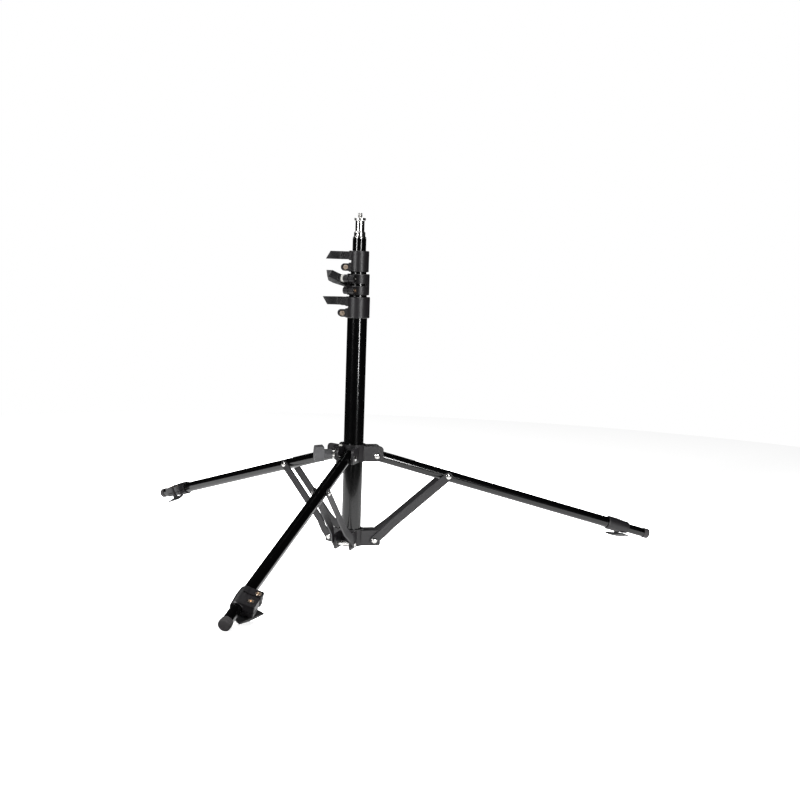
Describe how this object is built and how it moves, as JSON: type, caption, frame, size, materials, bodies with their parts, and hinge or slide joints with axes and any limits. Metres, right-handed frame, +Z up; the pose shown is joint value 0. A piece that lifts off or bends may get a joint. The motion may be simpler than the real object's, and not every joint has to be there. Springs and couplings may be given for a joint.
{
  "type": "compact lighting stand",
  "caption": "Compact black telescopic lighting stand: nested column sections with wing-knob clamps, braced fold-down legs with telescopic ends, chrome spigot on top.",
  "frame": {"origin": "On the floor plane, on the axis of the column.", "axes": "+Z is up along the column, towards the spigot. +X is the horizontal direction of leg a. +Y makes the frame right-handed, so legs b and c lie 120 and 240 degrees from +X towards +Y."},
  "size_m": [0.703, 0.8098, 0.4712],
  "materials": {
    "gloss_black_tube": "gloss black lacquer on aluminium tube",
    "satin_black": "satin black coating on cast alloy collars, brackets and steel straps",
    "black_plastic": "fine-grained moulded black plastic",
    "foot_rubber": "dull dark grey rubber",
    "bright_steel": "bright plated steel",
    "warm_steel": "yellowish passivated steel",
    "nylon": "natural white nylon, hidden inside the tubes"
  },
  "bodies": {
    "base": {"base_tube": "gloss_black_tube", "column_plug": "black_plastic", "lower_bracket": "satin_black", "lower_collar": "satin_black", "lower_clamp_screw": "warm_steel", "lower_clamp_bolt": "bright_steel", "lower_rivet_a": "bright_steel", "lower_rivet_b": "bright_steel", "lower_rivet_c": "bright_steel"},
    "lower_knob": {"lower_clamp_knob": "black_plastic"},
    "middle_section": {"middle_tube": "gloss_black_tube", "middle_glide": "nylon", "middle_collar": "satin_black", "middle_clamp_screw": "warm_steel", "middle_clamp_bolt": "bright_steel"},
    "middle_knob": {"middle_clamp_knob": "black_plastic"},
    "upper_section": {"upper_tube": "gloss_black_tube", "upper_glide": "nylon", "upper_collar": "satin_black", "upper_clamp_screw": "warm_steel", "upper_clamp_bolt": "bright_steel"},
    "upper_knob": {"upper_clamp_knob": "black_plastic"},
    "top_section": {"top_tube": "gloss_black_tube", "top_glide": "nylon", "spigot": "bright_steel", "spigot_stud": "warm_steel"},
    "leg_bracket": {"upper_bracket": "satin_black", "upper_rivet_a": "bright_steel", "upper_rivet_b": "bright_steel", "upper_rivet_c": "bright_steel"},
    "bracket_lock": {"bracket_lock_knob": "black_plastic", "bracket_lock_screw": "bright_steel"},
    "leg_a": {"leg_tube_a": "gloss_black_tube", "leg_collar_a": "satin_black", "leg_clamp_bolt_a": "warm_steel", "mid_pin_a": "bright_steel"},
    "leg_knob_a": {"leg_clamp_knob_a": "black_plastic"},
    "foot_a": {"leg_extension_a": "gloss_black_tube", "foot_cap_a": "foot_rubber"},
    "brace_a": {"brace_a_left": "satin_black", "brace_a_right": "satin_black"},
    "leg_b": {"leg_tube_b": "gloss_black_tube", "leg_collar_b": "satin_black", "leg_clamp_bolt_b": "warm_steel", "mid_pin_b": "bright_steel"},
    "leg_knob_b": {"leg_clamp_knob_b": "black_plastic"},
    "foot_b": {"leg_extension_b": "gloss_black_tube", "foot_cap_b": "foot_rubber"},
    "brace_b": {"brace_b_left": "satin_black", "brace_b_right": "satin_black"},
    "leg_c": {"leg_tube_c": "gloss_black_tube", "leg_collar_c": "satin_black", "leg_clamp_bolt_c": "warm_steel", "mid_pin_c": "bright_steel"},
    "leg_knob_c": {"leg_clamp_knob_c": "black_plastic"},
    "foot_c": {"leg_extension_c": "gloss_black_tube", "foot_cap_c": "foot_rubber"},
    "brace_c": {"brace_c_left": "satin_black", "brace_c_right": "satin_black"}
  },
  "joints": [
    {"name": "leg_bracket_slide", "type": "slide", "parent": "base", "child": "leg_bracket", "axis": [0, 0, 1], "range_m": [0, 0.1315]},
    {"name": "middle_section_slide", "type": "slide", "parent": "base", "child": "middle_section", "axis": [0, 0, 1], "range_m": [0, 0.255]},
    {"name": "upper_section_slide", "type": "slide", "parent": "middle_section", "child": "upper_section", "axis": [0, 0, 1], "range_m": [0, 0.27]},
    {"name": "top_section_slide", "type": "slide", "parent": "upper_section", "child": "top_section", "axis": [0, 0, 1], "range_m": [0, 0.29]},
    {"name": "lower_knob_turn", "type": "hinge", "parent": "base", "child": "lower_knob", "pos_m": [-0.02189, 0.00308, 0.34835], "axis": [0.1392, 0.9903, 0], "range_deg": [0, 60]},
    {"name": "middle_knob_turn", "type": "hinge", "parent": "middle_section", "child": "middle_knob", "pos_m": [-0.01507, -0.01405, 0.38035], "axis": [-0.682, 0.7314, 0], "range_deg": [0, 60]},
    {"name": "upper_knob_turn", "type": "hinge", "parent": "upper_section", "child": "upper_knob", "pos_m": [-0.01891, 0.00266, 0.41235], "axis": [0.1392, 0.9903, 0], "range_deg": [0, 90]},
    {"name": "bracket_lock_turn", "type": "hinge", "parent": "leg_bracket", "child": "bracket_lock", "pos_m": [0, 0, 0.13349], "axis": [-1, 0, 0], "range_deg": [0, 360]},
    {"name": "leg_a_fold", "type": "hinge", "parent": "leg_bracket", "child": "leg_a", "pos_m": [0.032, 0, 0.13099], "axis": [0, 1, 0], "range_deg": [0, 70.4]},
    {"name": "brace_a_fold", "type": "hinge", "parent": "base", "child": "brace_a", "pos_m": [0.031, 0, 0.00999], "axis": [0, -1, 0], "range_deg": [0, 47.19]},
    {"name": "foot_a_slide", "type": "slide", "parent": "leg_a", "child": "foot_a", "axis": [0.9608, 0, -0.2773], "range_m": [0, 0.2]},
    {"name": "leg_knob_a_turn", "type": "hinge", "parent": "leg_a", "child": "leg_knob_a", "pos_m": [0.41809, 0.01159, 0.01632], "axis": [-0.2679, -0.2588, -0.928], "range_deg": [0, 60]},
    {"name": "leg_b_fold", "type": "hinge", "parent": "leg_bracket", "child": "leg_b", "pos_m": [-0.016, 0.02771, 0.13099], "axis": [-0.866, -0.5, 0], "range_deg": [0, 70.4]},
    {"name": "brace_b_fold", "type": "hinge", "parent": "base", "child": "brace_b", "pos_m": [-0.0155, 0.02685, 0.00999], "axis": [0.866, 0.5, 0], "range_deg": [0, 47.19]},
    {"name": "foot_b_slide", "type": "slide", "parent": "leg_b", "child": "foot_b", "axis": [-0.4804, 0.8321, -0.2773], "range_m": [0, 0.2]},
    {"name": "leg_knob_b_turn", "type": "hinge", "parent": "leg_b", "child": "leg_knob_b", "pos_m": [-0.21908, 0.35628, 0.01632], "axis": [0.3581, -0.1026, -0.928], "range_deg": [0, 60]},
    {"name": "leg_c_fold", "type": "hinge", "parent": "leg_bracket", "child": "leg_c", "pos_m": [-0.016, -0.02771, 0.13099], "axis": [0.866, -0.5, 0], "range_deg": [0, 70.4]},
    {"name": "brace_c_fold", "type": "hinge", "parent": "base", "child": "brace_c", "pos_m": [-0.0155, -0.02685, 0.00999], "axis": [-0.866, 0.5, 0], "range_deg": [0, 47.19]},
    {"name": "foot_c_slide", "type": "slide", "parent": "leg_c", "child": "foot_c", "axis": [-0.4804, -0.8321, -0.2773], "range_m": [0, 0.2]},
    {"name": "leg_knob_c_turn", "type": "hinge", "parent": "leg_c", "child": "leg_knob_c", "pos_m": [-0.19901, -0.36787, 0.01632], "axis": [-0.0902, 0.3614, -0.928], "range_deg": [0, 60]}
  ],
  "couplings": [
    {"joint": "leg_a_fold", "follows": "leg_bracket_slide", "rad_per_m": 9.3438},
    {"joint": "brace_a_fold", "follows": "leg_bracket_slide", "rad_per_m": 6.2626},
    {"joint": "leg_b_fold", "follows": "leg_bracket_slide", "rad_per_m": 9.3438},
    {"joint": "brace_b_fold", "follows": "leg_bracket_slide", "rad_per_m": 6.2626},
    {"joint": "leg_c_fold", "follows": "leg_bracket_slide", "rad_per_m": 9.3438},
    {"joint": "brace_c_fold", "follows": "leg_bracket_slide", "rad_per_m": 6.2626}
  ]
}
